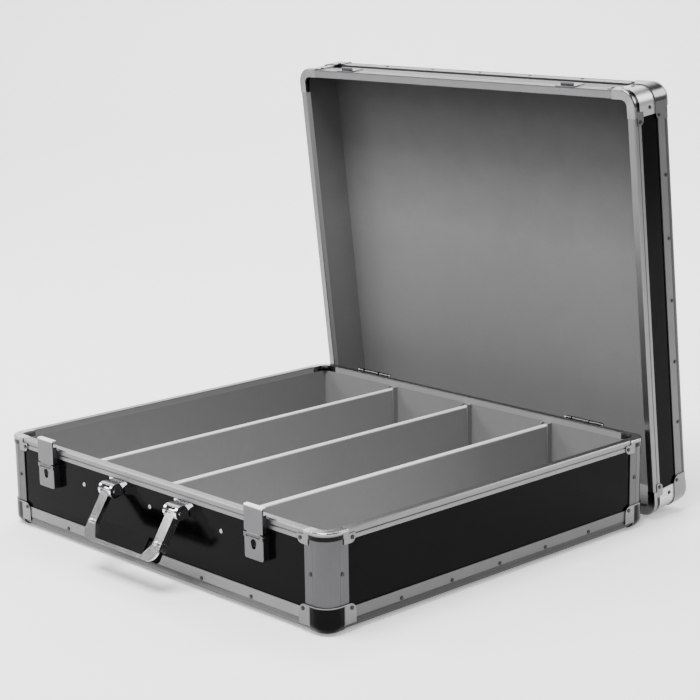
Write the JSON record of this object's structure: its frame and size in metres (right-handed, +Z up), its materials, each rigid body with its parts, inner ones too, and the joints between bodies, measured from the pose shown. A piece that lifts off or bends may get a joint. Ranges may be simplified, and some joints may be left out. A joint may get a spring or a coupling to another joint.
{
  "type": "poker chip case",
  "caption": "Hard carrying case with an aluminium frame, black panels, lift-out lane dividers, a lift-off lid, hasp latches and a folding handle.",
  "frame": {"origin": "under the middle of the base, handle and standing lid together, on the plane that the base's lower corner caps rest on", "axes": "+X along the front towards its right end, +Y from the front to the back, +Z up"},
  "size_m": [0.524, 0.5982, 0.4839],
  "materials": {
    "panel": "plywood faced with glossy black laminate",
    "lining": "thin grey felt-like sheet glued to the boards",
    "divider": "board covered in the same grey sheet, with a paler worn top edge",
    "guide": "grey extruded plastic",
    "frame": "satin anodised extrusion",
    "rim": "bright satin extrusion",
    "corner": "pressed steel, bright plated",
    "rivet": "domed steel rivet heads",
    "hardware": "nickel plated steel sheet",
    "handle": "bright plated steel",
    "grip": "black moulded plastic",
    "lock": "dark steel plug with a key slot",
    "pin": "bright steel"
  },
  "bodies": {
    "base": {"base_corner_caps": "corner", "base_corner_posts": "frame", "base_edge_front": "frame", "base_edge_left": "frame", "base_edge_rear": "frame", "base_edge_right": "frame", "base_floor": "panel", "base_lining_floor": "lining", "base_lining_walls": "lining", "base_panel_front": "panel", "base_panel_left": "panel", "base_panel_rear": "panel", "base_panel_right": "panel", "base_rim_corners": "corner", "base_rim_front": "rim", "base_rim_left": "rim", "base_rim_rear": "rim", "base_rim_right": "rim", "base_rivets": "rivet", "divider_guides": "guide", "handle_feet": "handle", "handle_pins": "pin", "hinge_leaves": "hardware", "latch_housing_left": "hardware", "latch_housing_right": "hardware", "latch_lock_left": "lock", "latch_lock_right": "lock", "latch_pin_left": "pin", "latch_pin_right": "pin"},
    "hinge_pins": {"hinge_pins": "pin"},
    "lid": {"lid_catches": "hardware", "lid_corner_caps": "corner", "lid_corner_posts": "frame", "lid_edge_front": "frame", "lid_edge_left": "frame", "lid_edge_rear": "frame", "lid_edge_right": "frame", "lid_hinge_hooks": "hardware", "lid_lining_top": "lining", "lid_lining_walls": "lining", "lid_panel_front": "panel", "lid_panel_left": "panel", "lid_panel_rear": "panel", "lid_panel_right": "panel", "lid_rim_corners": "corner", "lid_rim_front": "rim", "lid_rim_left": "rim", "lid_rim_rear": "rim", "lid_rim_right": "rim", "lid_rivets": "rivet", "lid_top": "panel"},
    "divider_left": {"divider_left": "divider"},
    "divider_middle": {"divider_middle": "divider"},
    "divider_right": {"divider_right": "divider"},
    "latch_left": {"latch_hasp_left": "hardware"},
    "latch_right": {"latch_hasp_right": "hardware"},
    "handle": {"handle_bail": "handle", "handle_grip": "grip"}
  },
  "joints": [
    {"name": "lid_hinge", "type": "hinge", "parent": "base", "child": "hinge_pins", "pos_m": [0, 0.22094, 0.1012], "axis": [-1, 0, 0], "range_deg": [-83.6, 6.4]},
    {"name": "lid_lift_off", "type": "slide", "parent": "hinge_pins", "child": "lid", "axis": [0, -0.1639, 0.9865], "range_m": [0, 0.10005]},
    {"name": "divider_left_lift", "type": "slide", "parent": "base", "child": "divider_left", "axis": [0, 0, 1], "range_m": [0, 0.084]},
    {"name": "divider_middle_lift", "type": "slide", "parent": "base", "child": "divider_middle", "axis": [0, 0, 1], "range_m": [0, 0.084]},
    {"name": "divider_right_lift", "type": "slide", "parent": "base", "child": "divider_right", "axis": [0, 0, 1], "range_m": [0, 0.084]},
    {"name": "latch_left_swing", "type": "hinge", "parent": "base", "child": "latch_left", "pos_m": [-0.1788, -0.26226, 0.0818], "axis": [1, 0, 0], "range_deg": [0, 110]},
    {"name": "latch_right_swing", "type": "hinge", "parent": "base", "child": "latch_right", "pos_m": [0.1662, -0.26226, 0.0818], "axis": [1, 0, 0], "range_deg": [0, 110]},
    {"name": "handle_swing", "type": "hinge", "parent": "base", "child": "handle", "pos_m": [-0.0063, -0.26626, 0.08], "axis": [-1, 0, 0], "range_deg": [-28, 57]}
  ]
}
